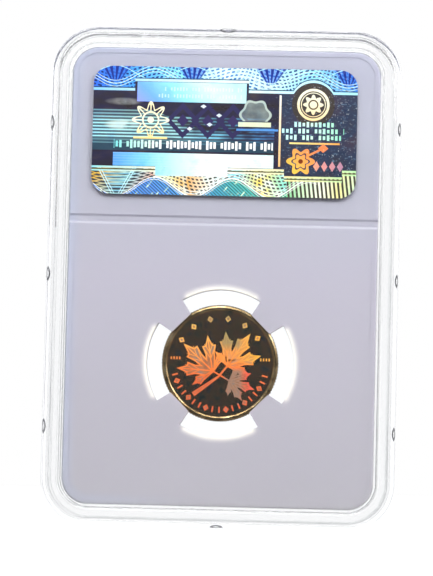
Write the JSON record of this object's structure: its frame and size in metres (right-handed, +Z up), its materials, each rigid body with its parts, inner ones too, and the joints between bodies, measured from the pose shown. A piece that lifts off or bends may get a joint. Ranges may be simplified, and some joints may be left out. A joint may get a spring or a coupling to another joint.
{
  "type": "graded coin slab",
  "caption": "Sealed clear holder for one small gold coin: welded half shells, a soft core with gripping prongs, a foil security label and a paper label.",
  "frame": {"origin": "middle of the flat bottom edge, where the slab stands upright", "axes": "+Z up the height, +X across the width, Y through the thickness; the rear with the foil label looks along -Y, the front with the paper label along +Y"},
  "size_m": [0.0604, 0.0078, 0.0857],
  "materials": {
    "clear_plastic": "clear moulded polystyrene, polished",
    "core_plastic": "soft translucent pale grey, matte",
    "coin_gold": "mirror field with frosted and tinted relief",
    "hologram_foil": "holographic foil, printed and embossed",
    "label_paper": "uncoated printed paper"
  },
  "bodies": {
    "root": {"rear_shell": "clear_plastic", "front_shell": "clear_plastic", "coin_core": "core_plastic", "coin": "coin_gold", "hologram_label": "hologram_foil", "front_label": "label_paper"}
  },
  "joints": []
}
